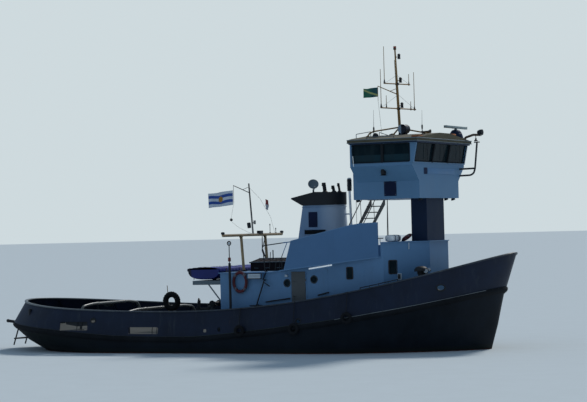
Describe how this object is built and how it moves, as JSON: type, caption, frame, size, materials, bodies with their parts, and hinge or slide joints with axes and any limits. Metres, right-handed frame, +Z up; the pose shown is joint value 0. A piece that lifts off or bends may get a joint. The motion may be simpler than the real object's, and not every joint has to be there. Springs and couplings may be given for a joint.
{
  "type": "tugboat",
  "caption": "Harbour tug with a decked hull and bulwarks, deckhouse, funnel, a wheelhouse raised on a column, masts, towing hook and rudder.",
  "frame": {"origin": "on the centreline, amidships, at the waterline", "axes": "+X towards the bow, +Y to port, +Z up"},
  "size_m": [22.6926, 7.04, 14.2215],
  "materials": {
    "black_hull": "matte",
    "navy_bulwark": "satin",
    "deck_paint": "matte",
    "fender_rubber": "matte",
    "pale_paint": "satin",
    "navy_paint": "satin",
    "door_paint": "satin",
    "black_paint": "satin",
    "grey_paint": "satin",
    "ochre_paint": "satin",
    "roof_paint": "satin",
    "bronze": "satin",
    "window_glass": "smooth",
    "grey_rubber": "satin",
    "blue_cloth": "woven",
    "lifebuoy_red": "satin",
    "tyre_rubber": "matte",
    "flag_cloth_blue": "woven",
    "flag_cloth_green": "woven"
  },
  "bodies": {
    "boat": {"hull": "black_hull", "main_deck": "deck_paint", "fender_strake": "fender_rubber", "bulwark_stern": "navy_bulwark", "bulwark_starboard": "navy_bulwark", "bulwark_port": "navy_bulwark", "bulwark_bow": "navy_bulwark", "deckhouse": "pale_paint", "boat_deck": "deck_paint", "side_screen_starboard": "pale_paint", "side_screen_port": "pale_paint", "foredeck_vent": "navy_bulwark", "column": "navy_paint", "funnel": "pale_paint", "funnel_cap": "black_paint", "satellite_dish": "grey_paint", "wheelhouse_stairs": "pale_paint", "wheelhouse_walls": "navy_paint", "wheelhouse_window_band": "pale_paint", "wheelhouse_glass": "window_glass", "wheelhouse_roof": "roof_paint", "helm_console": "black_paint", "front_guard": "pale_paint", "main_mast": "ochre_paint", "mast_drum": "black_paint", "radar_pedestal": "black_paint", "searchlight": "black_paint", "goalpost_mast": "ochre_paint", "davit_post": "black_paint", "dinghy_platform": "grey_paint", "dinghy": "grey_rubber", "dinghy_cover": "blue_cloth", "skylight": "black_paint", "raft": "pale_paint", "lifebuoy_roof": "lifebuoy_red", "lifebuoy_side": "lifebuoy_red", "stowed_anchor": "black_paint", "towing_post": "grey_paint", "tow_bow_aft": "navy_bulwark", "tow_bow_forward": "navy_bulwark", "aft_hatch": "navy_bulwark", "bitts_starboard": "navy_bulwark", "bitts_port": "navy_bulwark", "windlass": "navy_bulwark", "gob_post": "navy_bulwark", "deck_tyre": "tyre_rubber", "flag_aft": "flag_cloth_blue", "flag_main": "flag_cloth_green"},
    "screw": {"propeller": "bronze"},
    "steering": {"rudder": "black_hull"},
    "door_starboard": {"deckhouse_door_starboard": "door_paint"},
    "door_port": {"deckhouse_door_port": "door_paint"},
    "door_wheelhouse": {"wheelhouse_door": "pale_paint"},
    "hatch_lid": {"aft_hatch_lid": "navy_bulwark"},
    "hook": {"towing_hook": "black_paint"},
    "radar": {"radar_scanner": "pale_paint"}
  },
  "joints": [
    {"name": "propeller_turn", "type": "hinge", "parent": "boat", "child": "screw", "pos_m": [-6.59, 0, -1.45], "axis": [1, 0, 0], "continuous": true},
    {"name": "rudder_turn", "type": "hinge", "parent": "boat", "child": "steering", "pos_m": [-7.33, 0, -1.4], "axis": [0, 0, 1], "range_deg": [-35, 35]},
    {"name": "starboard_door_swing", "type": "hinge", "parent": "boat", "child": "door_starboard", "pos_m": [3.82, -2.38, 2.1], "axis": [0, 0, 1], "range_deg": [0, 110]},
    {"name": "port_door_swing", "type": "hinge", "parent": "boat", "child": "door_port", "pos_m": [3.82, 2.38, 2.1], "axis": [0, 0, -1], "range_deg": [0, 110]},
    {"name": "wheelhouse_door_swing", "type": "hinge", "parent": "boat", "child": "door_wheelhouse", "pos_m": [5.69, 1.62, 6.75], "axis": [0, 0, -1], "range_deg": [0, 90]},
    {"name": "hatch_lid_lift", "type": "hinge", "parent": "boat", "child": "hatch_lid", "pos_m": [-8.27, 0, 1.412], "axis": [0, 1, 0], "range_deg": [0, 100]},
    {"name": "towing_hook_swing", "type": "hinge", "parent": "boat", "child": "hook", "pos_m": [-1.65, 0, 1.555], "axis": [0, 0, 1], "range_deg": [-60, 60]},
    {"name": "radar_turn", "type": "hinge", "parent": "boat", "child": "radar", "pos_m": [8.37, 1.95, 8.4], "axis": [0, 0, 1], "continuous": true}
  ]
}
